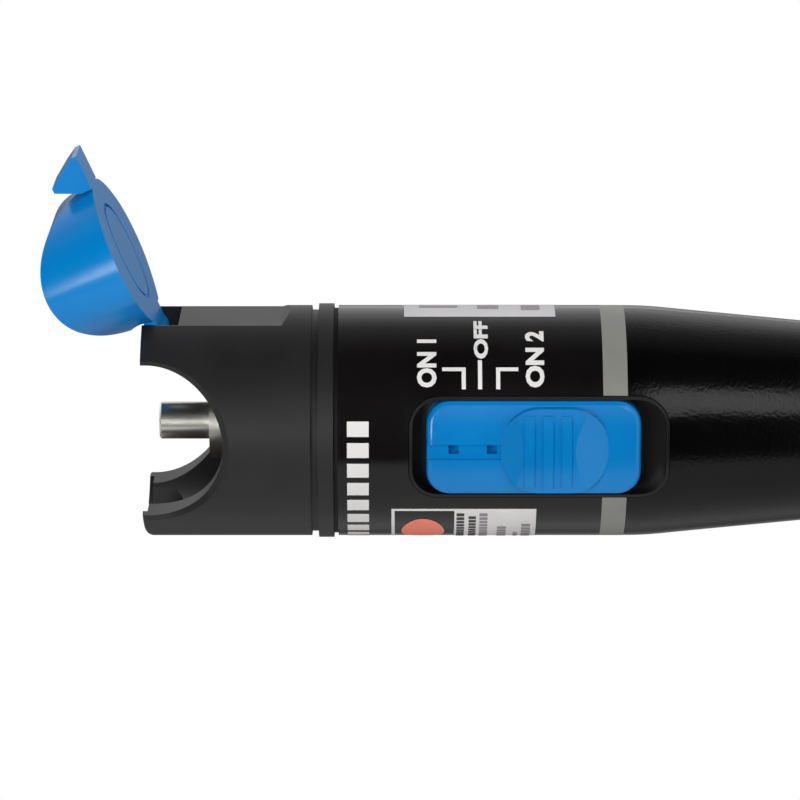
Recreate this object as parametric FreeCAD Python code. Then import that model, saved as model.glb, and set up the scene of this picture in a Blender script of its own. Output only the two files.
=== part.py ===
import FreeCAD, Part
import math
import os

# Visual fault locator, pen type, 26 mm across and 175 mm long, for two AA cells.
# Millimetres. Z is the long axis: the tail's end face lies on z = 0 and the light port
# points to +Z. The dust cap's hinge is on the +X side and the slide switch faces -Y.
# The cap is modelled shut and then swung open about its pin.

Vector = FreeCAD.Vector

# ---- Outer form ----
BODY_R = 13.0
HEAD_LENGTH = 60.0        # from the circuit board's foot to the front face
TAIL_R = 10.2
TAPER_DEG = 5.4
TAPER_BLEND_R = 45.0
LABEL_LENGTH = 29.3
LABEL_T = 0.12
BAND_WIDTH = 2.7
BAND_T = 0.3
SKIN_GAP = 0.02           # under the label and the band

# ---- Nose collar ----
NOSE_WALL = 3.34
ARM_DEPTH = 4.4           # from the pen's surface to the notch's side
NOTCH_STRAIGHT = 0.55     # from the front face to the round end's centre
NOTCH_CHAMFER = 0.7
BULKHEAD_T = 3.0
COLLAR_LENGTH = 21.35
RIM_WIDTH = 1.7
RIM_PROUD = 0.2
GROOVE_WIDTH = 0.8
GROOVE_DEPTH = 0.5
FACET_DEPTH = 0.9
FACET_LENGTH = 15.55
FACET_RAMP = 0.9
HINGE_SLOT_HALF = 4.5
HINGE_SLOT_DEPTH = 4.05
LOWER_ARM_ROUND = 1.0
LOWER_REBATE_DEPTH = 0.5
LOWER_REBATE_WALL = 1.7
NOSE_SEAL_T = 0.5
NOSE_SEAL_WIDTH = 1.1
NOSE_SEAL_INSET = 0.3

# ---- Dust cap and its hinge ----
PIN_R = 0.7
PIN_DEPTH = 1.25          # behind the front face
PIN_WALL = 1.4            # from the notch's side to the pin's centre
PIN_COVER = 0.5           # collar left outside the pin's ends
PIN_FIT = 0.02            # press fit shown as a hairline in the ears
KNUCKLE_FIT = 0.08        # running clearance on the pin
KNUCKLE_R = 1.4
KNUCKLE_SIDE_GAP = 0.2
CAP_OPEN_DEG = 155.2
CAP_PLATE_T = 1.3
CAP_SKIRT_T = 1.8
CAP_GAP = 0.12            # round the cap in the notch
CAP_DRAFT_DEG = 8.5       # lean of the lobes' outer walls towards the axis
CAP_TIP_ROUND = 6.0       # rounds the two ends of the cap's oval
CAP_SIDE_FLAT = 0.22      # how far the notch trims the cap's oval at its waist
CAP_EAR_SWEEP = 2.8       # radius about the pin kept clear of the ears
CAP_GROOVE_R = 5.6
CAP_GROOVE_WIDTH = 0.45
CAP_GROOVE_DEPTH = 0.3
CAP_RING_R = 2.6
CAP_RING_WALL = 0.9
CAP_RING_HEIGHT = 2.0
TAB_HALF = 3.3
TAB_INSET = 0.45
TAB_EDGE = 0.6
TAB_WEDGE_DEPTH = 4.0
TAB_WEDGE_RUN = 2.2
TAB_GAP = 0.35
TAB_BEND_OUT = 0.75       # the wedge's belly from the tip
TAB_BEND_DEPTH = 1.9

# ---- Light port and laser ----
PORT_R = 2.1
PORT_SETBACK = 1.65       # tip behind the front face
PORT_FLANGE_R = 4.2
PORT_FLANGE_T = 1.8
PORT_SHANK_R = 2.6
PORT_SHANK_LENGTH = 7.8
PORT_LIP = 0.6
PORT_LIP_R = 1.45
PORT_TIP_CHAMFER = 0.2
PORT_HOLE_GAP = 0.1
FERRULE_R = 1.25          # bore for the 2.5 mm ferrule
SLEEVE_T = 0.38
SLEEVE_GAP = 0.06
SLEEVE_SLIT = 0.3
SLEEVE_LENGTH = 7.0
STUB_LENGTH = 10.6
NUT_FLATS = 7.0
NUT_T = 1.8
HOLDER_R = 5.5
HOLDER_GAP = 0.05
LENS_R = 1.9
LENS_T = 1.8
DIODE_FLANGE_R = 2.8
DIODE_FLANGE_T = 1.2
DIODE_CAN_R = 1.8
DIODE_CAN_LENGTH = 2.4
LEAD_R = 0.22
LEAD_PITCH = 1.27
LEAD_LENGTH = 6.0

# ---- Housing ----
HOUSING_WALL = 2.6
SPIGOT_WALL = 1.1
SPIGOT_LENGTH = 5.5
SPIGOT_GAP = 0.1
SPIGOT_END_GAP = 0.4
CELL_GAP = 0.35
TAIL_SPIGOT_R = 9.0
SEAL_R = 0.38
SEAL_GROOVE = 0.55
SEAL_PLAY = 0.1
SEAL_LAND = 1.2           # from the housing's shoulder to the seal's centre

# ---- Cells and contacts ----
CELL_R = 7.25
CELL_LENGTH = 50.5
NUB_R = 2.7
NUB_LENGTH = 1.0
CELL_EDGE = 0.8
CONTACT_T = 0.4
FRONT_CONTACT_R = 5.0
CARRIER_BOSS = 3.0
CARRIER_T = 1.6
CARRIER_GAP = 0.1
SPRING_LENGTH = 6.2
SPRING_R = 4.2
SPRING_WIRE_R = 0.4
SPRING_PITCH = 1.7
STRIP_WIDTH = 3.0
STRIP_T = 0.3
STRIP_GAP = 0.15
STRIP_FOOT_LIFT = 0.3

# ---- Tail cap ----
CAP_LENGTH = 14.0
CAP_FLOOR = 2.4
CAP_THREAD_GAP = 0.3
CAP_EDGE = 0.8
CAP_SPIGOT_END = 5.0
SHOULDER_GAP = 0.1
RIB_COUNT = 30
RIB_DEPTH = 0.3
RIB_LAND = 1.6            # plain band left at the cap's front end

# ---- Board and switch ----
BOARD_T = 1.0
BOARD_HALF = 8.4
BOARD_BACK = 1.25         # the board's back face from the axis
BOARD_END_GAP = 1.4
SWITCH_SETBACK = 43.5     # slider's centre behind the front face
SWITCH_THROW = 1.2        # each way from OFF
SWITCH_HEIGHT = 3.8
SWITCH_HALF_X = 1.9
SWITCH_HALF_Z = 4.3
SWITCH_WELL = 1.15
LEVER_HALF = 0.75
LEVER_PLAY = 0.08
LEVER_DIP = 1.0           # how far the lever reaches into the switch
BEZEL_HALF_X = 5.75
BEZEL_LENGTH = 28.7
BEZEL_SHIFT = 0.6         # bezel's centre towards the tail from the slider's
BEZEL_CORNER_R = 3.3
BEZEL_WALL = 0.35
BEZEL_PROUD = 0.05
BEZEL_FLOOR_Y = 9.6       # tray floor from the axis
BEZEL_FLOOR_T = 1.0
BEZEL_GAP = 0.08
SLIDER_LENGTH = 23.7
SLIDER_SIDE_GAP = 0.12
SLIDER_FLOOR_GAP = 0.15
SLIDER_HEIGHT = 3.25
SLIDER_CORNER_R = 2.6
SLIDER_CROWN_R = 20.0
SLIDER_EDGE = 0.7
MOUND_SETBACK = 8.25      # from the slider's front end
MOUND_LENGTH = 11.8
MOUND_HEIGHT = 1.2
MOUND_MARGIN = 0.5
MOUND_CORNER_R = 4.2
MOUND_FRONT_RUN = 2.4
MOUND_BACK_RUN = 3.6
RIDGE_COUNT = 3
RIDGE_PITCH = 2.05
RIDGE_WIDTH = 1.1
RIDGE_HEIGHT = 0.3
RIDGE_HALF_X = 4.1
RIDGE_SETBACK = 3.1       # first ridge's centre from the mound's front edge
SLIDER_GROOVE_HALF = 0.85
SLIDER_GROOVE_X = -0.3
SLIDER_GROOVE_DEPTH = 0.35
PIT_SIZE = 1.1
PIT_DEPTH = 1.6
PIT_FIRST = 3.0
PIT_PITCH = 4.25
STEM_HALF_X = 1.2
STEM_HALF_Z = 1.6
STEM_REACH = 2.45
STEM_GAP = 0.15
BARB_OUT = 0.8
BARB_T = 0.55
CHIP_HALF = 3.2
CHIP_T = 1.5
INDUCTOR_R = 2.6
INDUCTOR_T = 3.0
CAPACITOR_HALF = 1.0
COMPONENT_PITCH = 7.0

# ---- Places along the axis, from the tail up ----
SPRING_Z = CAP_FLOOR + CONTACT_T
REAR_CELL_Z = SPRING_Z + SPRING_LENGTH
FRONT_CELL_Z = REAR_CELL_Z + CELL_LENGTH
STACK_END = FRONT_CELL_Z + CELL_LENGTH
CHAMBER_Z = STACK_END + CONTACT_T + CARRIER_BOSS
BOARD_Z = CHAMBER_Z + CARRIER_T
FRONT = BOARD_Z + HEAD_LENGTH

NOTCH_R = BODY_R - ARM_DEPTH      # half the notch's width, and its round end
NOTCH_Z = FRONT - NOTCH_STRAIGHT
BULKHEAD_Z = NOTCH_Z - NOTCH_R
BULKHEAD_BACK = BULKHEAD_Z - BULKHEAD_T
COLLAR_Z = FRONT - COLLAR_LENGTH
HOUSING_FRONT = COLLAR_Z - NOSE_SEAL_T
BAND_Z = HOUSING_FRONT - LABEL_LENGTH
TAPER_Z = BAND_Z - BAND_WIDTH
SWITCH_Z = FRONT - SWITCH_SETBACK
BEZEL_Z = SWITCH_Z - BEZEL_SHIFT

# ---- Radii and depths that follow from the sizes above ----
NOSE_BORE_R = BODY_R - NOSE_WALL
STUB_R = FERRULE_R + SLEEVE_T
CHAMBER_R = BODY_R - HOUSING_WALL
SPIGOT_R = CHAMBER_R + SPIGOT_WALL
CELL_BORE_R = CELL_R + CELL_GAP
PIN_X = NOTCH_R + PIN_WALL
PIN_Z = FRONT - PIN_DEPTH
PIN_HALF = math.sqrt((BODY_R - PIN_COVER) ** 2 - (PIN_X + PIN_R) ** 2)
CAP_HALF = NOTCH_R - CAP_GAP
OVAL_HALF = CAP_HALF + CAP_SIDE_FLAT
OVAL_ARC_R = (OVAL_HALF ** 2 + BODY_R ** 2) / (2 * OVAL_HALF)
FAR = 2 * BODY_R          # beyond every face, for cutters


def box(x0, x1, y0, y1, z0, z1):
    """Block between two corners."""
    return Part.makeBox(x1 - x0, y1 - y0, z1 - z0, Vector(x0, y0, z0))


def cylinder(radius, z0, z1):
    """Round bar on the long axis."""
    return Part.makeCylinder(radius, z1 - z0, Vector(0, 0, z0))


def tube(outer, inner, z0, z1):
    """Ring on the long axis."""
    return cylinder(outer, z0, z1).cut(cylinder(inner, z0 - 1, z1 + 1))


def cross_bar(radius, x, z, half):
    """Round bar across the pen, along Y."""
    return Part.makeCylinder(radius, 2 * half, Vector(x, -half, z), Vector(0, 1, 0))


def turned(points):
    """Solid turned about the long axis from its (radius, z) outline."""
    ring = [Vector(radius, 0, z) for radius, z in points]
    face = Part.Face(Part.makePolygon(ring + ring[:1]))
    return face.revolve(Vector(0, 0, 0), Vector(0, 0, 1), 360)


def side_profile(points, y0, y1):
    """Prism along Y from its (x, z) outline."""
    ring = [Vector(x, y0, z) for x, z in points]
    face = Part.Face(Part.makePolygon(ring + ring[:1]))
    return face.extrude(Vector(0, y1 - y0, 0))


def lengthwise_profile(points, x0, x1):
    """Prism along X from its (y, z) outline."""
    ring = [Vector(x0, y, z) for y, z in points]
    face = Part.Face(Part.makePolygon(ring + ring[:1]))
    return face.extrude(Vector(x1 - x0, 0, 0))


def rounded_pad(half_x, z_middle, length, corner, y0, y1):
    """Rounded rectangle in the XZ plane, drawn out along Y."""
    block = box(-half_x, half_x, y0, y1, z_middle - length / 2, z_middle + length / 2)
    corners = [edge for edge in block.Edges if is_along_y(edge)]
    return block.makeFillet(corner, corners)


def is_along_y(edge):
    """True for a straight edge that runs along Y."""
    start = edge.Vertexes[0].Point
    end = edge.Vertexes[-1].Point
    return abs(start.x - end.x) < 1e-6 and abs(start.z - end.z) < 1e-6


def u_prism(radius, half_length):
    """The notch's U outline as a prism along Y, open at the front."""
    round_end = cross_bar(radius, 0, NOTCH_Z, half_length)
    straight = box(-radius, radius, -half_length, half_length, NOTCH_Z, FRONT + FAR)
    return round_end.fuse(straight).removeSplitter()


def swing_open(shape):
    """Turn a shut cap's piece to its open place about the hinge pin."""
    shape.rotate(Vector(PIN_X, 0, PIN_Z), Vector(0, 1, 0), CAP_OPEN_DEG)
    return shape


def make_nose_collar():
    """Turned blank of the moulding, then the notch, facet, hinge slot and latch pocket."""
    rim_top = COLLAR_Z + RIM_WIDTH
    groove_top = rim_top + GROOVE_WIDTH
    socket_r = SPIGOT_R + SPIGOT_GAP
    socket_top = HOUSING_FRONT + SPIGOT_LENGTH + SPIGOT_END_GAP
    hole_r = PORT_SHANK_R + PORT_HOLE_GAP
    blank = turned([
        (NOSE_BORE_R, FRONT), (BODY_R, FRONT), (BODY_R, groove_top),
        (BODY_R - GROOVE_DEPTH, groove_top), (BODY_R - GROOVE_DEPTH, rim_top),
        (BODY_R + RIM_PROUD, rim_top), (BODY_R + RIM_PROUD, COLLAR_Z),
        (socket_r, COLLAR_Z), (socket_r, socket_top), (NOSE_BORE_R, socket_top),
        (NOSE_BORE_R, BULKHEAD_BACK), (hole_r, BULKHEAD_BACK), (hole_r, BULKHEAD_Z),
        (NOSE_BORE_R, BULKHEAD_Z)])
    collar = blank.cut(u_prism(NOTCH_R, FAR))
    collar = collar.makeChamfer(NOTCH_CHAMFER, notch_rim_edges(collar))
    return collar.cut(Part.makeCompound([
        make_facet_cutter(), make_hinge_cutter(), make_lower_arm_cutter()]))


def notch_rim_edges(collar):
    """Edges where the notch breaks through the collar's outer surface."""
    rim = []
    for edge in collar.Edges:
        middle = edge.valueAt((edge.FirstParameter + edge.LastParameter) / 2)
        on_skin = abs(math.hypot(middle.x, middle.y) - BODY_R) < 0.01
        inside_front = BULKHEAD_Z - 0.5 < middle.z < FRONT - 0.01
        if on_skin and inside_front and abs(middle.x) < NOTCH_R + 0.01:
            rim.append(edge)
    return rim


def make_facet_cutter():
    """Flat on the hinge side that ends in a short ramp."""
    flat = BODY_R - FACET_DEPTH
    ramp_z = FRONT - FACET_LENGTH
    return side_profile([
        (flat, FRONT + 1), (flat, ramp_z), (BODY_R, ramp_z - FACET_RAMP),
        (FAR, ramp_z - FACET_RAMP), (FAR, FRONT + 1)], -BODY_R, BODY_R)


def make_hinge_cutter():
    """Slot for the cap's knuckle, with the pin's hole in both ears."""
    slot = box(NOTCH_R / 2, FAR, -HINGE_SLOT_HALF, HINGE_SLOT_HALF,
               FRONT - HINGE_SLOT_DEPTH, FRONT + 1)
    return slot.fuse(cross_bar(PIN_R + PIN_FIT, PIN_X, PIN_Z, PIN_HALF))


def make_lower_arm_cutter():
    """Rounded front of the arm opposite the hinge, its rebate and latch pocket."""
    round_z = FRONT - LOWER_ARM_ROUND
    round_r = BODY_R - LOWER_ARM_ROUND
    start = Vector(BODY_R, 0, round_z)
    middle = Vector(round_r + LOWER_ARM_ROUND * math.sqrt(0.5), 0,
                    round_z + LOWER_ARM_ROUND * math.sqrt(0.5))
    end = Vector(round_r, 0, FRONT)
    outline = Part.Wire([
        Part.Arc(start, middle, end).toShape(),
        Part.makePolygon([end, Vector(round_r, 0, FRONT + 1), Vector(FAR, 0, FRONT + 1),
                          Vector(FAR, 0, round_z), start])])
    rounding = Part.Face(outline).revolve(Vector(0, 0, 0), Vector(0, 0, 1), 360)
    rebate = cylinder(BODY_R - LOWER_REBATE_WALL, FRONT - LOWER_REBATE_DEPTH, FRONT + 1)
    lower_side = box(-FAR, -NOTCH_R / 2, -FAR, FAR, FRONT - COLLAR_LENGTH, FRONT + 2)
    pocket_half = TAB_HALF + TAB_GAP
    pocket = side_profile(tab_outline(TAB_GAP), -pocket_half, pocket_half)
    return rounding.fuse(rebate).common(lower_side).fuse(pocket)


def tab_outline(gap):
    """Side view of the latch tab, grown by a gap: tip, edge, wedge and hook."""
    tip = -(BODY_R - TAB_INSET)
    hook = tip + TAB_WEDGE_RUN
    inner = -CAP_HALF + gap
    top = FRONT + gap
    low = FRONT - TAB_WEDGE_DEPTH - gap
    return [
        (inner, top), (tip - gap, top), (tip - gap, FRONT - TAB_EDGE - gap / 2),
        (tip + TAB_BEND_OUT - gap, FRONT - TAB_BEND_DEPTH - gap / 2),
        (hook - gap, low), (hook + TAB_EDGE, low), (inner, FRONT - CAP_PLATE_T - gap)]


def oval_cup(inset, z0, z1):
    """The cap's pointed oval, where two drafted round bars beside the axis overlap."""
    draft = math.tan(math.radians(CAP_DRAFT_DEG))
    low_r = OVAL_ARC_R - inset - (FRONT - z0) * draft
    high_r = OVAL_ARC_R - inset - (FRONT - z1) * draft
    offset = OVAL_ARC_R - OVAL_HALF
    bars = [Part.makeCone(low_r, high_r, z1 - z0, Vector(side * offset, 0, z0))
            for side in (-1, 1)]
    oval = bars[0].common(bars[1])
    tips = [edge for edge in oval.Edges if is_tip_edge(edge)]
    return oval.makeFillet(CAP_TIP_ROUND - inset, tips)


def is_tip_edge(edge):
    """True for the oval's two lengthwise edges, which lie in the plane x = 0."""
    ends = [vertex.Point for vertex in edge.Vertexes]
    return abs(ends[0].x) + abs(ends[-1].x) < 0.01 and abs(ends[0].z - ends[-1].z) > 1


def make_front_cap():
    """Face plate, two lobes that fill the notch, knuckle, locating ring and latch tab."""
    plate_z = FRONT - CAP_PLATE_T
    plug = u_prism(CAP_HALF, FAR).common(oval_cup(0, BULKHEAD_Z - 1, FRONT))
    hollow = oval_cup(CAP_SKIRT_T, BULKHEAD_Z - 2, plate_z)
    shell = plug.cut(hollow).cut(cross_bar(CAP_EAR_SWEEP, PIN_X, PIN_Z, FAR))
    hinge_half = HINGE_SLOT_HALF - KNUCKLE_SIDE_GAP
    tongue = box(CAP_HALF - CAP_EAR_SWEEP, PIN_X, -hinge_half, hinge_half, plate_z, FRONT)
    knuckle = cross_bar(KNUCKLE_R, PIN_X, PIN_Z, hinge_half)
    ring = tube(CAP_RING_R + CAP_RING_WALL, CAP_RING_R, plate_z - CAP_RING_HEIGHT, plate_z)
    tab = side_profile(tab_outline(0), -TAB_HALF, TAB_HALF)
    cap = shell.fuse([tongue, knuckle, ring, tab]).removeSplitter()
    groove = tube(CAP_GROOVE_R + CAP_GROOVE_WIDTH / 2, CAP_GROOVE_R - CAP_GROOVE_WIDTH / 2,
                  FRONT - CAP_GROOVE_DEPTH, FRONT + 1)
    bore = cross_bar(PIN_R + KNUCKLE_FIT, PIN_X, PIN_Z, FAR)
    return swing_open(cap.cut([groove, bore]))


def make_hinge_pin():
    """Steel pin held in the collar's ears."""
    return cross_bar(PIN_R, PIN_X, PIN_Z, PIN_HALF)


def make_nose_seal():
    """Flat ring in the joint between the collar and the housing."""
    outer = BODY_R - NOSE_SEAL_INSET
    return tube(outer, outer - NOSE_SEAL_WIDTH, HOUSING_FRONT, COLLAR_Z)


def make_port_barrel():
    """Nickel-plated port tube with its flange on the bulkhead and shank through it."""
    tip = FRONT - PORT_SETBACK
    flange_top = BULKHEAD_Z + PORT_FLANGE_T
    bore = FERRULE_R + SLEEVE_T + SLEEVE_GAP
    shank_end = BULKHEAD_Z - PORT_SHANK_LENGTH
    return turned([
        (PORT_LIP_R, tip), (PORT_R - PORT_TIP_CHAMFER, tip), (PORT_R, tip - PORT_TIP_CHAMFER),
        (PORT_R, flange_top), (PORT_FLANGE_R, flange_top), (PORT_FLANGE_R, BULKHEAD_Z),
        (PORT_SHANK_R, BULKHEAD_Z), (PORT_SHANK_R, shank_end), (bore, shank_end),
        (bore, tip - PORT_LIP), (PORT_LIP_R, tip - PORT_LIP)])


def sleeve_front():
    """Front end of the split sleeve, just behind the port's lip."""
    return FRONT - PORT_SETBACK - PORT_LIP - SLEEVE_GAP


def make_split_sleeve():
    """Zirconia sleeve with a lengthwise slit that grips the ferrule."""
    top = sleeve_front()
    ring = tube(FERRULE_R + SLEEVE_T, FERRULE_R, top - SLEEVE_LENGTH, top)
    return ring.cut(box(0, PORT_R, -SLEEVE_SLIT / 2, SLEEVE_SLIT / 2,
                        top - SLEEVE_LENGTH - 1, top + 1))


def make_ferrule_stub():
    """Ceramic stub with the fibre, between the lens and the sleeve."""
    return cylinder(STUB_R, stub_top() - STUB_LENGTH, stub_top())


def stub_top():
    """Polished end of the stub, where the tested ferrule's end comes to rest."""
    return sleeve_front() - SLEEVE_LENGTH - SLEEVE_GAP


def make_port_nut():
    """Hexagon nut that clamps the port to the bulkhead."""
    corner_r = NUT_FLATS / math.sqrt(3)
    ring = [Vector(corner_r * math.cos(math.radians(60 * side)),
                   corner_r * math.sin(math.radians(60 * side)),
                   BULKHEAD_BACK - NUT_T) for side in range(7)]
    nut = Part.Face(Part.makePolygon(ring)).extrude(Vector(0, 0, NUT_T))
    bore = cylinder(PORT_SHANK_R + HOLDER_GAP, BULKHEAD_BACK - NUT_T - 1, BULKHEAD_BACK + 1)
    return nut.cut(bore)


def laser_places():
    """Heights of the laser's pieces: holder top, stub end, lens, can and flange."""
    holder_top = BULKHEAD_BACK - NUT_T
    stub_end = stub_top() - STUB_LENGTH
    lens_top = stub_end - HOLDER_GAP
    can_top = lens_top - LENS_T - HOLDER_GAP
    flange_top = can_top - DIODE_CAN_LENGTH
    return holder_top, stub_end, lens_top, can_top, flange_top


def make_laser_holder():
    """Turned sleeve that lines up the port, stub, lens and laser."""
    holder_top, stub_end, lens_top, can_top, flange_top = laser_places()
    shank_seat = BULKHEAD_Z - PORT_SHANK_LENGTH - HOLDER_GAP
    bottom = flange_top - DIODE_FLANGE_T
    shank_r = PORT_SHANK_R + HOLDER_GAP
    stub_r = STUB_R + HOLDER_GAP
    lens_r = LENS_R + HOLDER_GAP
    flange_r = DIODE_FLANGE_R + HOLDER_GAP
    return turned([
        (HOLDER_R, holder_top), (HOLDER_R, bottom), (flange_r, bottom), (flange_r, flange_top),
        (lens_r, flange_top), (lens_r, lens_top), (stub_r, lens_top), (stub_r, shank_seat),
        (shank_r, shank_seat), (shank_r, holder_top)])


def make_coupling_lens():
    """Lens that brings the laser's light to the fibre stub."""
    lens_top = laser_places()[2]
    return cylinder(LENS_R, lens_top - LENS_T, lens_top)


def make_laser_diode():
    """Laser can on its flange, with three leads down to the board."""
    can_top, flange_top = laser_places()[3:]
    base = flange_top - DIODE_FLANGE_T
    can = cylinder(DIODE_CAN_R, flange_top, can_top)
    flange = cylinder(DIODE_FLANGE_R, base, flange_top)
    lead_y = -BOARD_BACK + LEAD_R
    leads = [Part.makeCylinder(LEAD_R, LEAD_LENGTH + DIODE_FLANGE_T / 2,
                               Vector(column * LEAD_PITCH, lead_y, base - LEAD_LENGTH))
             for column in (-1, 0, 1)]
    return flange.fuse([can] + leads).removeSplitter()


def taper_points():
    """Start and end of the curve into the taper, and the taper's foot: (radius, z)."""
    angle = math.radians(TAPER_DEG)
    blend_r = BODY_R - TAPER_BLEND_R * (1 - math.cos(angle))
    blend_z = TAPER_Z - TAPER_BLEND_R * math.sin(angle)
    foot_z = blend_z - (blend_r - TAIL_R) / math.tan(angle)
    return (BODY_R, TAPER_Z), (blend_r, blend_z), (TAIL_R, foot_z)


def make_housing_skin():
    """Closed outer form: spigot, label seat, band seat, taper, tail and tail spigot."""
    start, blend, foot = taper_points()
    half = math.radians(TAPER_DEG / 2)
    middle = (BODY_R - TAPER_BLEND_R * (1 - math.cos(half)),
              TAPER_Z - TAPER_BLEND_R * math.sin(half))
    label_seat = BODY_R - LABEL_T - SKIN_GAP
    band_seat = BODY_R - BAND_T - SKIN_GAP
    tail_front = CAP_LENGTH + SHOULDER_GAP
    upper = [(0, HOUSING_FRONT + SPIGOT_LENGTH), (SPIGOT_R, HOUSING_FRONT + SPIGOT_LENGTH),
             (SPIGOT_R, HOUSING_FRONT), (label_seat, HOUSING_FRONT), (label_seat, BAND_Z),
             (band_seat, BAND_Z), (band_seat, TAPER_Z), start]
    lower = [blend, foot, (TAIL_R, tail_front), (TAIL_SPIGOT_R, tail_front),
             (TAIL_SPIGOT_R, CAP_SPIGOT_END), (0, CAP_SPIGOT_END), upper[0]]
    to_3d = [Vector(radius, 0, z) for radius, z in (start, middle, blend)]
    outline = Part.Wire([
        Part.makePolygon([Vector(radius, 0, z) for radius, z in upper]),
        Part.Arc(*to_3d).toShape(),
        Part.makePolygon([Vector(radius, 0, z) for radius, z in lower])])
    return Part.Face(outline).revolve(Vector(0, 0, 0), Vector(0, 0, 1), 360)


def make_main_housing():
    """One moulding: round outside, chamber for the board, bore for the two cells."""
    chamber = cylinder(CHAMBER_R, CHAMBER_Z, FRONT)
    cell_bore = cylinder(CELL_BORE_R, 0, CHAMBER_Z + 1)
    opening = rounded_pad(BEZEL_HALF_X + BEZEL_GAP, BEZEL_Z, BEZEL_LENGTH + 2 * BEZEL_GAP,
                          BEZEL_CORNER_R + BEZEL_GAP, -FAR, -BEZEL_FLOOR_Y + BEZEL_FLOOR_T)
    strip_half = STRIP_WIDTH / 2 + STRIP_GAP
    strip_way = box(-strip_half, strip_half, 0, strip_inner_y() + STRIP_T + STRIP_GAP,
                    CAP_SPIGOT_END - 1, CHAMBER_Z + 1)
    seal_groove = tube(FAR, TAIL_SPIGOT_R - SEAL_GROOVE, seal_z() - SEAL_R - SEAL_PLAY,
                       seal_z() + SEAL_R + SEAL_PLAY)
    return make_housing_skin().cut([chamber, cell_bore, opening, strip_way, seal_groove])


def seal_z():
    """Height of the tail seal's centre."""
    return CAP_LENGTH - SEAL_LAND


def polygon_points(radius, z, section_r):
    """Eight corners round a small round section, to keep its facets few."""
    return [(radius + section_r * math.cos(math.pi * (corner / 4 + 0.125)),
             z + section_r * math.sin(math.pi * (corner / 4 + 0.125))) for corner in range(8)]


def make_tail_seal():
    """O-ring in its groove on the tail spigot, under the cap's skirt."""
    return turned(polygon_points(TAIL_SPIGOT_R - SEAL_GROOVE + SEAL_R, seal_z(), SEAL_R))


def window_cutter():
    """Window that the label and the band leave for the bezel."""
    return rounded_pad(BEZEL_HALF_X + BEZEL_GAP, BEZEL_Z, BEZEL_LENGTH + 2 * BEZEL_GAP,
                       BEZEL_CORNER_R + BEZEL_GAP, -FAR, 0)


def make_label_wrap():
    """Printed film round the front of the housing."""
    return tube(BODY_R, BODY_R - LABEL_T, BAND_Z, HOUSING_FRONT).cut(window_cutter())


def make_trim_band():
    """Silver band between the label and the taper."""
    return tube(BODY_R, BODY_R - BAND_T, TAPER_Z, BAND_Z).cut(window_cutter())


def make_switch_bezel():
    """Tray with a rim on the body's surface and a slotted floor."""
    floor_back = -BEZEL_FLOOR_Y + BEZEL_FLOOR_T
    outer = rounded_pad(BEZEL_HALF_X, BEZEL_Z, BEZEL_LENGTH, BEZEL_CORNER_R, -FAR, floor_back)
    inner = rounded_pad(BEZEL_HALF_X - BEZEL_WALL, BEZEL_Z, BEZEL_LENGTH - 2 * BEZEL_WALL,
                        BEZEL_CORNER_R - BEZEL_WALL, -FAR, -BEZEL_FLOOR_Y)
    skin = cylinder(BODY_R + BEZEL_PROUD, BEZEL_Z - BEZEL_LENGTH, BEZEL_Z + BEZEL_LENGTH)
    slot_x = STEM_HALF_X + STEM_GAP
    slot_z = STEM_HALF_Z + SWITCH_THROW + STEM_GAP
    slot = box(-slot_x, slot_x, -FAR, 0, SWITCH_Z - slot_z, SWITCH_Z + slot_z)
    return outer.common(skin).cut([inner, slot])


def make_switch_slider():
    """Crowned blue plate with a guide groove, a ridged thumb mound and a barbed stem."""
    half_x = BEZEL_HALF_X - BEZEL_WALL - SLIDER_SIDE_GAP
    back = -BEZEL_FLOOR_Y - SLIDER_FLOOR_GAP
    face = back - SLIDER_HEIGHT
    front_z = SWITCH_Z + SLIDER_LENGTH / 2
    pad = rounded_pad(half_x, SWITCH_Z, SLIDER_LENGTH, SLIDER_CORNER_R, face - 1, back)
    plate = pad.common(crown(face))
    rim = [edge for edge in plate.Edges if is_face_rim(edge, back, half_x)]
    plate = plate.makeFillet(SLIDER_EDGE, rim)
    slider = plate.fuse([make_thumb_mound(face, front_z, half_x), make_stem(back)])
    return slider.cut(make_slider_marks(face, front_z)).removeSplitter()


def crown(face):
    """Large cylinder whose skin is the slider's crowned face."""
    return Part.makeCylinder(SLIDER_CROWN_R, 2 * SLIDER_LENGTH,
                             Vector(0, face + SLIDER_CROWN_R, SWITCH_Z - SLIDER_LENGTH))


def is_face_rim(edge, back, half_x):
    """True for the edges round the slider's outer face."""
    middle = edge.valueAt((edge.FirstParameter + edge.LastParameter) / 2)
    return middle.y < back - SLIDER_HEIGHT / 2 and not is_along_y(edge)


def make_thumb_mound(face, front_z, half_x):
    """Raised pad with cross ridges, a front ramp and a long smooth back ramp."""
    top_z = front_z - MOUND_SETBACK
    low_z = top_z - MOUND_LENGTH
    high = face - MOUND_HEIGHT
    root = face + SLIDER_HEIGHT / 2
    pad = rounded_pad(half_x - MOUND_MARGIN, (top_z + low_z) / 2, MOUND_LENGTH, MOUND_CORNER_R,
                      high - 1, root)
    ramps = lengthwise_profile([
        (root, top_z), (face, top_z), (high, top_z - MOUND_FRONT_RUN),
        (high, low_z + MOUND_BACK_RUN), (face, low_z), (root, low_z)], -FAR, FAR)
    mound = pad.common(ramps).common(crown(high))
    ridges = []
    for ridge in range(RIDGE_COUNT):
        ridge_z = top_z - RIDGE_SETBACK - RIDGE_PITCH * ridge
        bar = box(-RIDGE_HALF_X, RIDGE_HALF_X, -FAR, high + MOUND_HEIGHT / 2,
                  ridge_z - RIDGE_WIDTH / 2, ridge_z + RIDGE_WIDTH / 2)
        ridges.append(bar.common(crown(high - RIDGE_HEIGHT)))
    return mound.fuse(ridges)


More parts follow.
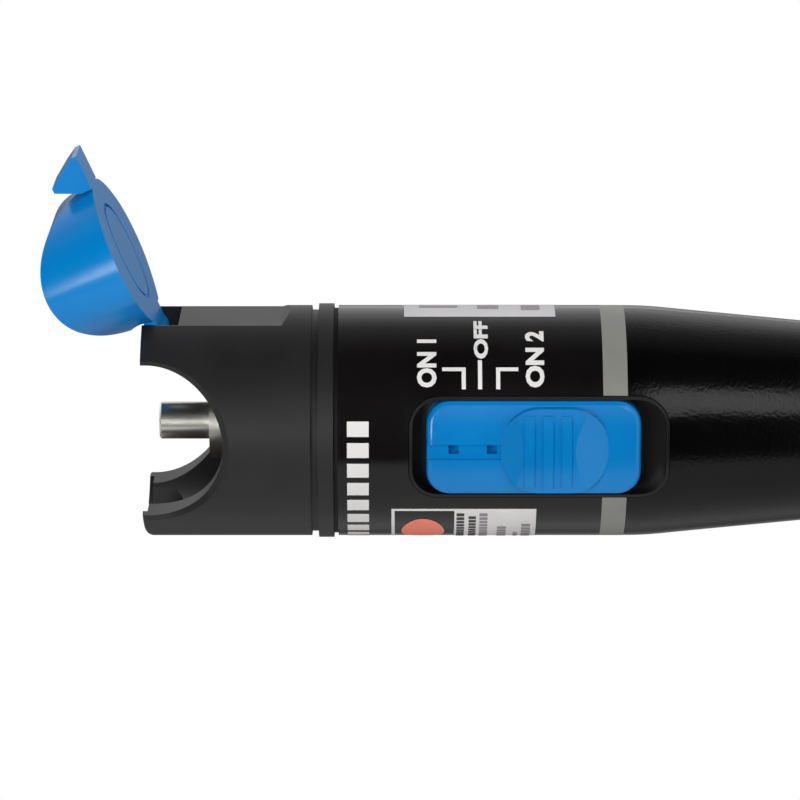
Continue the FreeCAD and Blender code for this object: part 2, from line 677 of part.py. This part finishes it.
def make_stem(back):
    """Stem through the tray's slot, with barbs under its floor and a pocket for the lever."""
    reach = back + STEM_REACH
    barb_face = -BEZEL_FLOOR_Y + BEZEL_FLOOR_T + STEM_GAP
    stem = box(-STEM_HALF_X, STEM_HALF_X, back - 0.5, reach,
               SWITCH_Z - STEM_HALF_Z, SWITCH_Z + STEM_HALF_Z)
    barb_x = STEM_HALF_X + BARB_OUT
    barbs = box(-barb_x, barb_x, barb_face, barb_face + BARB_T,
                SWITCH_Z - STEM_HALF_Z, SWITCH_Z + STEM_HALF_Z)
    pocket = LEVER_HALF + LEVER_PLAY
    hole = box(-pocket, pocket, back, reach + 1, SWITCH_Z - pocket, SWITCH_Z + pocket)
    return stem.fuse(barbs).cut(hole)


def make_slider_marks(face, front_z):
    """Shallow guide groove at the slider's front with two square pits."""
    floor = face + SLIDER_GROOVE_DEPTH
    groove = box(SLIDER_GROOVE_X - SLIDER_GROOVE_HALF, SLIDER_GROOVE_X + SLIDER_GROOVE_HALF,
                 face - 1, floor, front_z - MOUND_SETBACK, front_z + 1)
    cutter = groove
    for pit in range(2):
        pit_z = front_z - PIT_FIRST - pit * PIT_PITCH
        cutter = cutter.fuse(box(
            SLIDER_GROOVE_X + SLIDER_GROOVE_HALF - PIT_SIZE, SLIDER_GROOVE_X + SLIDER_GROOVE_HALF,
            face - 1, face + PIT_DEPTH, pit_z - PIT_SIZE / 2, pit_z + PIT_SIZE / 2))
    return cutter


def make_switch_lever():
    """The board switch's own lever, held in the slider's stem."""
    deep = -BOARD_BACK - BOARD_T - SWITCH_HEIGHT + LEVER_DIP
    tip = -BEZEL_FLOOR_Y - SLIDER_FLOOR_GAP + LEVER_PLAY
    return box(-LEVER_HALF, LEVER_HALF, tip, deep, SWITCH_Z - LEVER_HALF, SWITCH_Z + LEVER_HALF)


def make_slide_switch_body():
    """Board switch with the well that its lever slides in."""
    back = -BOARD_BACK - BOARD_T
    face = back - SWITCH_HEIGHT
    body = box(-SWITCH_HALF_X, SWITCH_HALF_X, face, back,
               SWITCH_Z - SWITCH_HALF_Z, SWITCH_Z + SWITCH_HALF_Z)
    well_x = LEVER_HALF + LEVER_PLAY
    well_z = LEVER_HALF + SWITCH_THROW + STEM_GAP
    well = box(-well_x, well_x, face - 1, face + SWITCH_WELL, SWITCH_Z - well_z, SWITCH_Z + well_z)
    return body.cut(well)


def board_top():
    """Front end of the circuit board, short of the laser holder."""
    return laser_places()[4] - DIODE_FLANGE_T - BOARD_END_GAP


def make_circuit_board():
    """Board on edge through the middle of the chamber."""
    return box(-BOARD_HALF, BOARD_HALF, -BOARD_BACK - BOARD_T, -BOARD_BACK, BOARD_Z, board_top())


def make_driver_components():
    """Driver chip, inductor and capacitor on the board's back face."""
    chip = box(-CHIP_HALF, CHIP_HALF, -BOARD_BACK, -BOARD_BACK + CHIP_T,
               SWITCH_Z - CHIP_HALF, SWITCH_Z + CHIP_HALF)
    inductor = Part.makeCylinder(
        INDUCTOR_R, INDUCTOR_T, Vector(0, -BOARD_BACK, SWITCH_Z - COMPONENT_PITCH), Vector(0, 1, 0))
    capacitor_z = SWITCH_Z + COMPONENT_PITCH - CAPACITOR_HALF
    capacitor = box(-CHIP_HALF / 2, CHIP_HALF / 2, -BOARD_BACK, -BOARD_BACK + CHIP_T,
                    capacitor_z - CAPACITOR_HALF, capacitor_z + CAPACITOR_HALF)
    return Part.makeCompound([chip, inductor, capacitor])


def make_contact_carrier():
    """Moulded disc on the chamber's floor, with a boss down to the front contact."""
    disc = cylinder(CHAMBER_R - CARRIER_GAP, CHAMBER_Z, BOARD_Z)
    boss = cylinder(CELL_R, STACK_END + CONTACT_T, CHAMBER_Z)
    strip_half = STRIP_WIDTH / 2 + STRIP_GAP
    way = box(-strip_half, strip_half, strip_inner_y() - STRIP_GAP, FAR, STACK_END, BOARD_Z + 1)
    return disc.fuse(boss).cut(way)


def make_front_contact():
    """Plated disc that the front cell's nub presses on."""
    return cylinder(FRONT_CONTACT_R, STACK_END, STACK_END + CONTACT_T)


def make_cell(foot):
    """AA cell with its nub towards the port."""
    shoulder = foot + CELL_LENGTH - NUB_LENGTH
    return turned([
        (0, foot), (CELL_R - CELL_EDGE, foot), (CELL_R, foot + CELL_EDGE),
        (CELL_R, shoulder - CELL_EDGE), (CELL_R - CELL_EDGE, shoulder), (NUB_R, shoulder),
        (NUB_R, foot + CELL_LENGTH), (0, foot + CELL_LENGTH)])


def strip_inner_y():
    """Inner face of the return strip, just outside the cells."""
    return CELL_R + CELL_GAP


def make_return_strip():
    """Brass strip from the tail contact along the cells to the board's back face."""
    half = STRIP_WIDTH / 2
    inner = strip_inner_y()
    outer = inner + STRIP_T
    foot_z = BOARD_Z + STRIP_FOOT_LIFT
    long_run = box(-half, half, inner, outer, CAP_SPIGOT_END - STRIP_T, foot_z + STRIP_T)
    foot = box(-half, half, -BOARD_BACK, inner, foot_z, foot_z + STRIP_T)
    fold = box(-half, half, outer, TAIL_SPIGOT_R - STRIP_T, CAP_SPIGOT_END - STRIP_T,
               CAP_SPIGOT_END)
    return long_run.fuse([foot, fold]).removeSplitter()


def make_tail_contact():
    """Plated cup on the tail cap's floor; its rim meets the return strip's fold."""
    outer = TAIL_SPIGOT_R
    disc = cylinder(outer, CAP_FLOOR, CAP_FLOOR + CONTACT_T)
    rim_top = CAP_SPIGOT_END - STRIP_T - STRIP_GAP / 2
    rim = tube(outer, outer - CONTACT_T * 2, CAP_FLOOR, rim_top)
    return disc.fuse(rim).removeSplitter()


def make_tail_spring():
    """Steel coil between the tail contact and the rear cell."""
    height = SPRING_LENGTH - 2 * SPRING_WIRE_R
    start_z = SPRING_Z + SPRING_WIRE_R
    helix = Part.makeHelix(SPRING_PITCH, height, SPRING_R)
    helix.translate(Vector(0, 0, start_z))
    corners = [Vector(radius, 0, z)
               for radius, z in polygon_points(SPRING_R, start_z, SPRING_WIRE_R)]
    return Part.Wire(helix).makePipeShell([Part.makePolygon(corners + corners[:1])], True, True)


def make_tail_cap():
    """Screw cap with a ribbed grip and a flat end to stand on."""
    bore = TAIL_SPIGOT_R + CAP_THREAD_GAP
    cup = turned([
        (0, 0), (TAIL_R - CAP_EDGE, 0), (TAIL_R, CAP_EDGE), (TAIL_R, CAP_LENGTH),
        (bore, CAP_LENGTH), (bore, CAP_FLOOR), (0, CAP_FLOOR)])
    return cup.cut(make_rib_cutter())


def make_rib_cutter():
    """Ring of V-shaped flutes round the cap's grip."""
    flutes = []
    deep = TAIL_R - RIB_DEPTH
    mouth = TAIL_R + 1
    spread = math.pi * TAIL_R / RIB_COUNT * 0.8
    low = CAP_EDGE
    high = CAP_LENGTH - RIB_LAND
    outline = [Vector(deep, 0, low), Vector(mouth, -spread * (1 + RIB_DEPTH), low),
               Vector(mouth, spread * (1 + RIB_DEPTH), low), Vector(deep, 0, low)]
    flute = Part.Face(Part.makePolygon(outline)).extrude(Vector(0, 0, high - low))
    for rib in range(RIB_COUNT):
        copy = flute.copy()
        copy.rotate(Vector(0, 0, 0), Vector(0, 0, 1), 360 * rib / RIB_COUNT)
        flutes.append(copy)
    return flutes


PARTS = {
    "nose_collar": make_nose_collar,
    "front_cap": make_front_cap,
    "hinge_pin": make_hinge_pin,
    "nose_seal": make_nose_seal,
    "port_barrel": make_port_barrel,
    "split_sleeve": make_split_sleeve,
    "ferrule_stub": make_ferrule_stub,
    "port_nut": make_port_nut,
    "laser_holder": make_laser_holder,
    "coupling_lens": make_coupling_lens,
    "laser_diode": make_laser_diode,
    "main_housing": make_main_housing,
    "label_wrap": make_label_wrap,
    "trim_band": make_trim_band,
    "switch_bezel": make_switch_bezel,
    "switch_slider": make_switch_slider,
    "switch_lever": make_switch_lever,
    "slide_switch_body": make_slide_switch_body,
    "circuit_board": make_circuit_board,
    "driver_components": make_driver_components,
    "contact_carrier": make_contact_carrier,
    "front_contact": make_front_contact,
    "battery_front": lambda: make_cell(FRONT_CELL_Z),
    "battery_rear": lambda: make_cell(REAR_CELL_Z),
    "return_strip": make_return_strip,
    "tail_contact": make_tail_contact,
    "tail_spring": make_tail_spring,
    "tail_seal": make_tail_seal,
    "tail_cap": make_tail_cap,
}

os.makedirs("parts", exist_ok=True)
for name, make in PARTS.items():
    shape = make()
    print(name, shape.ShapeType, len(shape.Solids), shape.isValid(), round(shape.Volume, 2))
    shape.exportStep("parts/" + name + ".step")
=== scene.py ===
import math

import bpy
from mathutils import Matrix, Vector


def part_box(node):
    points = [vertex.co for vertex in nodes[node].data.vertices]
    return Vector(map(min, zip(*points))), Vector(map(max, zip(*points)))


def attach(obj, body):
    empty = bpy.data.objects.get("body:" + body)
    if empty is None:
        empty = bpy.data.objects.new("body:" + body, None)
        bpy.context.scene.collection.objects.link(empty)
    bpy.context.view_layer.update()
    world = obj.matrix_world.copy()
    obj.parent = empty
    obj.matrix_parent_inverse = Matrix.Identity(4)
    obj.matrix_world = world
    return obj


# Looks of a pen-type visual fault locator. Metres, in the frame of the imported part:
# +Z runs to the light port, +X to the cap's hinge, and the slide switch faces -Y.

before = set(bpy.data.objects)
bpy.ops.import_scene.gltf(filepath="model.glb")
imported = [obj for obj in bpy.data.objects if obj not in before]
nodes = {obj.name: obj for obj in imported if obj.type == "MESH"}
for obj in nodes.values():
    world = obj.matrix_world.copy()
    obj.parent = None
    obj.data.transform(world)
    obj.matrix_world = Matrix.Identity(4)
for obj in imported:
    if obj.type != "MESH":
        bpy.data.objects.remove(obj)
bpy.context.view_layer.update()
MM = 0.001


# ---- Small helpers ----
def linear(hex_colour):
    """Linear RGBA from an sRGB hex string."""
    channels = [int(hex_colour[i:i + 2], 16) / 255 for i in (0, 2, 4)]
    return [c / 12.92 if c <= 0.04045 else ((c + 0.055) / 1.055) ** 2.4 for c in channels] + [1]


def add_node(tree, kind, **values):
    """Shader node of a kind, with its inputs and properties set by name."""
    node = tree.nodes.new(kind)
    for name, value in values.items():
        socket_name = name.replace("_", " ")
        if socket_name in node.inputs:
            node.inputs[socket_name].default_value = value
        else:
            setattr(node, name, value)
    return node


def new_material(name, **shader_values):
    """Material with one Principled shader; returns it with its tree and shader."""
    material = bpy.data.materials.new(name)
    material.use_nodes = True
    shader = material.node_tree.nodes["Principled BSDF"]
    for key, value in shader_values.items():
        shader.inputs[key.replace("_", " ")].default_value = value
    return material, material.node_tree, shader


def object_noise(tree, scale_per_metre, detail=2.0, stretch=(1, 1, 1)):
    """Noise fixed to the object, its size given as waves per metre."""
    place = add_node(tree, "ShaderNodeTexCoord")
    mapping = add_node(tree, "ShaderNodeMapping")
    mapping.inputs["Scale"].default_value = stretch
    noise = add_node(tree, "ShaderNodeTexNoise", Scale=scale_per_metre, Detail=detail)
    tree.links.new(place.outputs["Object"], mapping.inputs["Vector"])
    tree.links.new(mapping.outputs["Vector"], noise.inputs["Vector"])
    return noise


def link_bump(tree, shader, height, strength, distance):
    """Drive the shader's normal from a height socket."""
    bump = add_node(tree, "ShaderNodeBump", Strength=strength, Distance=distance)
    tree.links.new(height, bump.inputs["Height"])
    tree.links.new(bump.outputs["Normal"], shader.inputs["Normal"])


def link_colour_range(tree, shader, source, low, high, start=0.3, end=0.7):
    """Base colour that drifts between two colours with a noise socket."""
    ramp = add_node(tree, "ShaderNodeValToRGB")
    ramp.color_ramp.elements[0].position = start
    ramp.color_ramp.elements[0].color = low
    ramp.color_ramp.elements[1].position = end
    ramp.color_ramp.elements[1].color = high
    tree.links.new(source, ramp.inputs["Fac"])
    tree.links.new(ramp.outputs["Color"], shader.inputs["Base Color"])


def link_roughness_range(tree, shader, source, low, high):
    """Roughness that drifts between two values with a noise socket."""
    spread = add_node(tree, "ShaderNodeMapRange")
    spread.inputs["To Min"].default_value = low
    spread.inputs["To Max"].default_value = high
    tree.links.new(source, spread.inputs["Value"])
    tree.links.new(spread.outputs["Result"], shader.inputs["Roughness"])


DRIFT_PER_METRE = 140
TOOL_LINES_PER_METRE = 900
TOOL_LINE_DEPTH = 0.02 * MM


def moulded(name, dark, light, rough_low, rough_high, grain_per_metre, grain, depth, mirror=0.5):
    """Moulded plastic: faint colour drift, uneven sheen and a fine surface grain."""
    material, tree, shader = new_material(name, Specular_IOR_Level=mirror)
    drift = object_noise(tree, DRIFT_PER_METRE, 3.0)
    link_colour_range(tree, shader, drift.outputs["Fac"], linear(dark), linear(light))
    link_roughness_range(tree, shader, drift.outputs["Fac"], rough_low, rough_high)
    fine = object_noise(tree, grain_per_metre, 2.0)
    link_bump(tree, shader, fine.outputs["Fac"], grain, depth)
    return material


def metal(name, colour, rough_low, rough_high, stretch, bump_strength):
    """Turned or drawn metal with fine tool lines along one direction."""
    material, tree, shader = new_material(name, Metallic=1.0, Base_Color=linear(colour))
    lines = object_noise(tree, TOOL_LINES_PER_METRE, 3.0, stretch)
    link_roughness_range(tree, shader, lines.outputs["Fac"], rough_low, rough_high)
    link_bump(tree, shader, lines.outputs["Fac"], bump_strength, TOOL_LINE_DEPTH)
    return material


def dress(material, *names):
    """Give CAD nodes a material."""
    for name in names:
        mesh = nodes[name].data
        mesh.materials.clear()
        mesh.materials.append(material)


# ---- Materials of the CAD pieces ----
satin_black = moulded("satin_black", "1a191a", "201f20", 0.42, 0.5, 5200, 0.18, 0.00004)
grained_black = moulded("grained_black", "020203", "040405", 0.15, 0.2, 2600, 0.5, 0.00005,
                        mirror=0.35)
bezel_black = moulded("bezel_black", "0a0a0c", "101012", 0.3, 0.38, 5200, 0.1, 0.00003)
film_black = moulded("film_black", "0b090a", "100e0f", 0.14, 0.2, 6000, 0.04, 0.00002)
band_silver = moulded("band_silver", "80807b", "888883", 0.36, 0.42, 5000, 0.1, 0.00003)
cap_blue = moulded("cap_blue", "007cc6", "0083cf", 0.2, 0.26, 4200, 0.1, 0.00003)
slider_blue = moulded("slider_blue", "0077bd", "007cc4", 0.16, 0.22, 4200, 0.1, 0.00003)
seal_rubber = moulded("seal_rubber", "060606", "0a0a0a", 0.6, 0.7, 3000, 0.2, 0.00004)
board_mask = moulded("board_mask", "0b3d1c", "0f4a24", 0.3, 0.4, 2400, 0.1, 0.00003)
chip_black = moulded("chip_black", "0e0e0e", "161616", 0.5, 0.6, 4000, 0.2, 0.00003)
white_nylon = moulded("white_nylon", "c9c8c0", "d6d5ce", 0.4, 0.5, 3000, 0.1, 0.00003)
cell_jacket = moulded("cell_jacket", "2b2622", "38312b", 0.3, 0.4, 1200, 0.05, 0.00002)
zirconia = moulded("zirconia", "dedbd0", "e8e6dd", 0.15, 0.22, 3000, 0.05, 0.00001)
nickel = metal("nickel", "fffdf2", 0.26, 0.34, (1, 1, 12), 0.08)
steel = metal("steel", "b8b8b8", 0.25, 0.35, (1, 12, 1), 0.1)
aluminium = metal("aluminium", "c8c9cc", 0.25, 0.35, (1, 1, 12), 0.1)
brass = metal("brass", "c9a252", 0.25, 0.35, (1, 1, 6), 0.1)
lens_glass, _, _ = new_material("lens_glass", Base_Color=linear("e8f2ff"), Roughness=0.03,
                                Transmission_Weight=1.0, IOR=1.5)

dress(satin_black, "nose_collar", "tail_cap", "contact_carrier")
dress(grained_black, "main_housing")
dress(bezel_black, "switch_bezel")
dress(film_black, "label_wrap")
dress(band_silver, "trim_band")
dress(cap_blue, "front_cap")
dress(slider_blue, "switch_slider")
dress(seal_rubber, "nose_seal", "tail_seal")
dress(board_mask, "circuit_board")
dress(chip_black, "driver_components", "slide_switch_body")
dress(white_nylon, "switch_lever")
dress(cell_jacket, "battery_front", "battery_rear")
dress(zirconia, "split_sleeve", "ferrule_stub")
dress(nickel, "port_barrel", "port_nut", "front_contact", "tail_contact")
dress(steel, "hinge_pin", "tail_spring")
dress(aluminium, "laser_holder")
dress(brass, "return_strip", "laser_diode")
dress(lens_glass, "coupling_lens")


# ---- Print on the label ----
# Marks are thin patches just off the label's skin. A place on it is an angle in degrees,
# from the switch's side towards the hinge's, and a height in millimetres.
label_low, label_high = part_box("label_wrap")
PRINT_LIFT = 0.03 * MM
PRINT_R = (label_high.x - label_low.x) / 2 + PRINT_LIFT
PATCH_STEP = 3
BOLDNESS = 0.045
SPOT_STRIPS = 16


def on_label(angle, height, layer=0):
    """Point of the print at an angle and a height; marks over other marks are on layer 1."""
    turn = math.radians(angle)
    radius = PRINT_R + layer * PRINT_LIFT
    return radius * math.sin(turn), -radius * math.cos(turn), height * MM


def add_print(name, vertices, faces, material):
    """Piece of print that rides on the pen."""
    mesh = bpy.data.meshes.new(name)
    mesh.from_pydata(vertices, [], faces)
    mesh.materials.append(material)
    piece = bpy.data.objects.new(name, mesh)
    bpy.context.collection.objects.link(piece)
    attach(piece, "pen")


def add_patches(name, outlines, material, layer=0):
    """Rectangles on the label: (low angle, high angle, low height, high height)."""
    vertices = []
    faces = []
    for low_angle, high_angle, low, high in outlines:
        steps = max(1, math.ceil((high_angle - low_angle) / PATCH_STEP))
        for step in range(steps + 1):
            angle = low_angle + (high_angle - low_angle) * step / steps
            vertices += [on_label(angle, low, layer), on_label(angle, high, layer)]
            if step < steps:
                first = len(vertices) - 2
                faces.append((first, first + 2, first + 3, first + 1))
    add_print(name, vertices, faces, material)


def add_words(name, words, low_angle, high_angle, low, high, material):
    """Words that run towards the hinge's side and fill a rectangle on the label."""
    curve = bpy.data.curves.new(name, "FONT")
    curve.body = words
    curve.offset = BOLDNESS
    curve.resolution_u = 3
    writer = bpy.data.objects.new(name + "_outline", curve)
    flat = bpy.data.meshes.new_from_object(writer)
    corners = [vertex.co for vertex in flat.vertices]
    start = min(corner.x for corner in corners)
    end = max(corner.x for corner in corners)
    foot = min(corner.y for corner in corners)
    top = max(corner.y for corner in corners)
    vertices = []
    for corner in corners:
        along = (corner.x - start) / (end - start)
        across = (corner.y - foot) / (top - foot)
        vertices.append(on_label(low_angle + (high_angle - low_angle) * along,
                                 low + (high - low) * across))
    add_print(name, vertices, [tuple(face.vertices) for face in flat.polygons], material)
    bpy.data.objects.remove(writer)


def add_spot(name, angle, height, half_angle, half_height, material):
    """Oval on the label, cut across into strips so that it follows the curve."""
    vertices = []
    for strip in range(SPOT_STRIPS + 1):
        turn = math.pi * strip / SPOT_STRIPS
        reach = half_height * math.sin(turn)
        across = angle - half_angle * math.cos(turn)
        vertices += [on_label(across, height - reach), on_label(across, height + reach)]
    faces = [(2 * strip, 2 * strip + 2, 2 * strip + 3, 2 * strip + 1)
             for strip in range(SPOT_STRIPS)]
    add_print(name, vertices, faces, material)


print_white = moulded("print_white", "dddbd9", "e6e4e2", 0.4, 0.5, 3000, 0.05, 0.00002)
print_pale = moulded("print_pale", "cfcdd0", "d9d7da", 0.4, 0.5, 3000, 0.05, 0.00002)
print_dark = moulded("print_dark", "2a2629", "343033", 0.4, 0.5, 3000, 0.05, 0.00002)
print_grey = moulded("print_grey", "8d868c", "9a9399", 0.4, 0.5, 3000, 0.05, 0.00002)
print_orange = moulded("print_orange", "f5806a", "f98d77", 0.4, 0.5, 3000, 0.05, 0.00002)

# Names of the switch's places, each with a line that leads to the switch. The outer
# lines bend towards their names.
add_words("print_on_1", "ON 1", 30.7, 58.0, 142.2, 144.4, print_white)
add_words("print_off", "OFF", 46.0, 72.5, 136.5, 138.1, print_white)
add_words("print_on_2", "ON 2", 30.7, 64.0, 130.3, 132.4, print_white)
STROKE = 0.45
STROKE_ANGLE = 2
LINE_LOW = 29.8
LINE_TOP = 41.2
ON_1_LINE = 139.0
OFF_LINE = 137.2
ON_2_LINE = 135.2
add_patches("print_lines", [
    (LINE_LOW, LINE_TOP, ON_1_LINE, ON_1_LINE + STROKE),
    (LINE_TOP - STROKE_ANGLE, LINE_TOP, ON_1_LINE, ON_1_LINE + 2.6),
    (LINE_LOW, LINE_TOP + 4, OFF_LINE, OFF_LINE + STROKE),
    (LINE_LOW, LINE_TOP, ON_2_LINE, ON_2_LINE + STROKE),
    (LINE_TOP - STROKE_ANGLE, LINE_TOP, ON_2_LINE - 2, ON_2_LINE + STROKE)], print_white)

# A row of plain bars round the front edge, where the pen's name would stand
BAR_START = 14
BAR_PITCH = 10.5
BAR_ANGLE = 7.5
BAR_COUNT = 11
add_patches("print_name_bars", [
    (BAR_START - BAR_PITCH * bar - BAR_ANGLE, BAR_START - BAR_PITCH * bar, 149.7, 152.1)
    for bar in range(BAR_COUNT)], print_white)

# A white field under the switch, and a black one in a thin frame in front of it
FIELD_TOP = -34.5
FIELD_FOOT = -120
FIELD_REAR = 131.1
FIELD_SPLIT = 140.2
FIELD_FRONT = 147.2
EDGE_ANGLE = 1.6
EDGE = 0.35
add_patches("print_field", [
    (FIELD_FOOT, FIELD_TOP, FIELD_REAR, FIELD_SPLIT),
    (FIELD_TOP - EDGE_ANGLE, FIELD_TOP, FIELD_SPLIT, FIELD_FRONT),
    (FIELD_FOOT, FIELD_FOOT + EDGE_ANGLE, FIELD_SPLIT, FIELD_FRONT),
    (FIELD_FOOT, FIELD_TOP, FIELD_FRONT - EDGE, FIELD_FRONT)], print_white)
add_spot("print_spot", -58, 143.7, 15, 2.4, print_orange)

# Rows of small blocks stand for the fine print on the white field
LINE_END = -112
TIGHT_PITCH = 3.4
LOOSE_PITCH = 4.2
BLOCK_SHARE = 0.72


def text_blocks(start, pitch, low, high):
    """Blocks of one line of fine print, from its starting angle down to the lines' end."""
    count = int((start - LINE_END) / pitch)
    return [(start - pitch * (block + BLOCK_SHARE), start - pitch * block, low, high)
            for block in range(count)]


add_patches("print_fine_dark", text_blocks(-38, TIGHT_PITCH, 139.1, 139.95)
            + text_blocks(-40.5, TIGHT_PITCH, 137.8, 138.6), print_dark, layer=1)
add_patches("print_fine_grey", text_blocks(-38, TIGHT_PITCH, 136.5, 137.4)
            + text_blocks(-51, LOOSE_PITCH, 134.4, 135.4)
            + text_blocks(-60, LOOSE_PITCH, 133.1, 133.6)
            + text_blocks(-48, LOOSE_PITCH, 131.7, 132.7), print_grey, layer=1)

# A pale field on the hinge's side, with three blocks for its fine print
add_patches("print_pale_field", [(77, 125, 128.9, 145.8)], print_pale)
add_patches("print_pale_lines", [(90.5, 96, 139.8, 144.1), (88, 97, 135.2, 137.6),
                                 (86, 97, 130.6, 132.7)], print_grey, layer=1)


# ---- Stage, lights and camera ----
FLOOR_HALF = 0.25
floor_mesh = bpy.data.meshes.new("floor")
floor_mesh.from_pydata([(-FLOOR_HALF, -FLOOR_HALF, 0), (FLOOR_HALF, -FLOOR_HALF, 0),
                        (FLOOR_HALF, FLOOR_HALF, 0), (-FLOOR_HALF, FLOOR_HALF, 0)],
                       [], [(0, 1, 2, 3)])
floor = bpy.data.objects.new("floor", floor_mesh)
bpy.context.collection.objects.link(floor)
floor_paint, floor_tree, floor_shader = new_material(
    "floor_paint", Base_Color=linear("e9e9e9"), Roughness=0.7)
floor_mesh.materials.append(floor_paint)

# The camera sees the floor half way to white, and the pen's shadow stays on it
FLOOR_WHITENING = 0.5
seen_share = add_node(floor_tree, "ShaderNodeMath", operation="MULTIPLY")
seen_share.inputs[1].default_value = FLOOR_WHITENING
camera_ray = add_node(floor_tree, "ShaderNodeLightPath")
white = add_node(floor_tree, "ShaderNodeEmission", Color=(1, 1, 1, 1), Strength=1.0)
blend = add_node(floor_tree, "ShaderNodeMixShader")
floor_tree.links.new(camera_ray.outputs["Is Camera Ray"], seen_share.inputs[0])
floor_tree.links.new(seen_share.outputs["Value"], blend.inputs["Fac"])
floor_tree.links.new(floor_shader.outputs["BSDF"], blend.inputs[1])
floor_tree.links.new(white.outputs["Emission"], blend.inputs[2])
floor_tree.links.new(blend.outputs["Shader"], floor_tree.nodes["Material Output"].inputs["Surface"])

VIEW_TURN = math.radians(14.5)
VIEW_DISTANCE = 0.5
VIEW_HEIGHT = 0.14625
VIEW_SHIFT = 0.00226
FRAME_WIDTH = 0.0904
back = Vector((math.sin(VIEW_TURN), -math.cos(VIEW_TURN), 0))
up = Vector((math.cos(VIEW_TURN), math.sin(VIEW_TURN), 0))
right = Vector((0, 0, -1))

# The studio's walls as a ring round the pen: (degrees up from the camera, brightness).
# They are brightest above and behind the pen, grey below it, and dark on the camera's
# side and straight behind.
WALL_RING = ((-180, 0.16), (-166, 0.3), (-150, 0.12), (-128, 0.54), (-80, 0.5), (-46, 0.56),
             (-40, 0.03), (72, 0.03), (105, 0.3), (125, 0.75), (158, 0.9), (170, 0.2), (180, 0.16))

world = bpy.data.worlds.new("studio")
bpy.context.scene.world = world
world.use_nodes = True
studio = world.node_tree
studio.nodes.clear()
direction = add_node(studio, "ShaderNodeTexCoord")
parts_of_direction = []
for axis in (up, back):
    dot = add_node(studio, "ShaderNodeVectorMath", operation="DOT_PRODUCT")
    dot.inputs[1].default_value = axis
    studio.links.new(direction.outputs["Generated"], dot.inputs[0])
    parts_of_direction.append(dot.outputs["Value"])
climb = add_node(studio, "ShaderNodeMath", operation="ARCTAN2")
studio.links.new(parts_of_direction[0], climb.inputs[0])
studio.links.new(parts_of_direction[1], climb.inputs[1])
turn_share = add_node(studio, "ShaderNodeMapRange")
turn_share.inputs["From Min"].default_value = -math.pi
turn_share.inputs["From Max"].default_value = math.pi
studio.links.new(climb.outputs["Value"], turn_share.inputs["Value"])
walls = add_node(studio, "ShaderNodeValToRGB")
stops = walls.color_ramp.elements
stops[0].position = 0
stops[1].position = 1
for stop in range(len(WALL_RING) - 2):
    stops.new((stop + 1) / len(WALL_RING))
for stop, (degrees, brightness) in zip(stops, WALL_RING):
    stop.position = (degrees + 180) / 360
    stop.color = (brightness, brightness, brightness, 1)
studio.links.new(turn_share.outputs["Result"], walls.inputs["Fac"])
seen = add_node(studio, "ShaderNodeBackground", Color=(1, 1, 1, 1), Strength=1.0)
glow = add_node(studio, "ShaderNodeBackground", Strength=1.0)
studio.links.new(walls.outputs["Color"], glow.inputs["Color"])
light_path = add_node(studio, "ShaderNodeLightPath")
mix = add_node(studio, "ShaderNodeMixShader")
world_out = add_node(studio, "ShaderNodeOutputWorld")
studio.links.new(light_path.outputs["Is Camera Ray"], mix.inputs["Fac"])
studio.links.new(glow.outputs["Background"], mix.inputs[1])
studio.links.new(seen.outputs["Background"], mix.inputs[2])
studio.links.new(mix.outputs["Shader"], world_out.inputs["Surface"])


LIGHT_DISTANCE = 0.6


def add_softbox(name, climb_deg, aside_deg, size, power, mirrored=True):
    """Square light aimed at the pen's head, placed by its angles up and right of the camera.

    One that isn't mirrored lights the pen without showing in its sheen."""
    target = Vector((0, 0, VIEW_HEIGHT))
    climb_angle = math.radians(climb_deg)
    aside_angle = math.radians(aside_deg)
    level = back * math.cos(climb_angle) + up * math.sin(climb_angle)
    place = target + LIGHT_DISTANCE * (level * math.cos(aside_angle)
                                       + right * math.sin(aside_angle))
    light = bpy.data.lights.new(name, "AREA")
    light.shape = "SQUARE"
    light.size = size
    light.energy = power
    lamp = bpy.data.objects.new(name, light)
    lamp.matrix_world = (Matrix.Translation(place)
                         @ (target - place).to_track_quat("-Z", "Y").to_matrix().to_4x4())
    lamp.visible_glossy = mirrored
    bpy.context.collection.objects.link(lamp)


add_softbox("port_side_softbox", -12, -26, 0.22, 1.3)
add_softbox("tail_side_softbox", 20, 22, 0.25, 0.42)
add_softbox("front_fill", 8, 0, 0.3, 1.6, mirrored=False)
add_softbox("cap_plate_fill", 75, 26, 0.3, 1.5, mirrored=False)

camera_data = bpy.data.cameras.new("camera")
camera_data.sensor_width = 36
camera_data.lens = 36 * VIEW_DISTANCE / FRAME_WIDTH
camera = bpy.data.objects.new("camera", camera_data)
place = Vector((0, 0, VIEW_HEIGHT)) + up * VIEW_SHIFT + back * VIEW_DISTANCE
camera.matrix_world = Matrix.Translation(place) @ Matrix((right, up, back)).transposed().to_4x4()
bpy.context.collection.objects.link(camera)
bpy.context.scene.camera = camera
bpy.context.scene.view_settings.view_transform = "Standard"
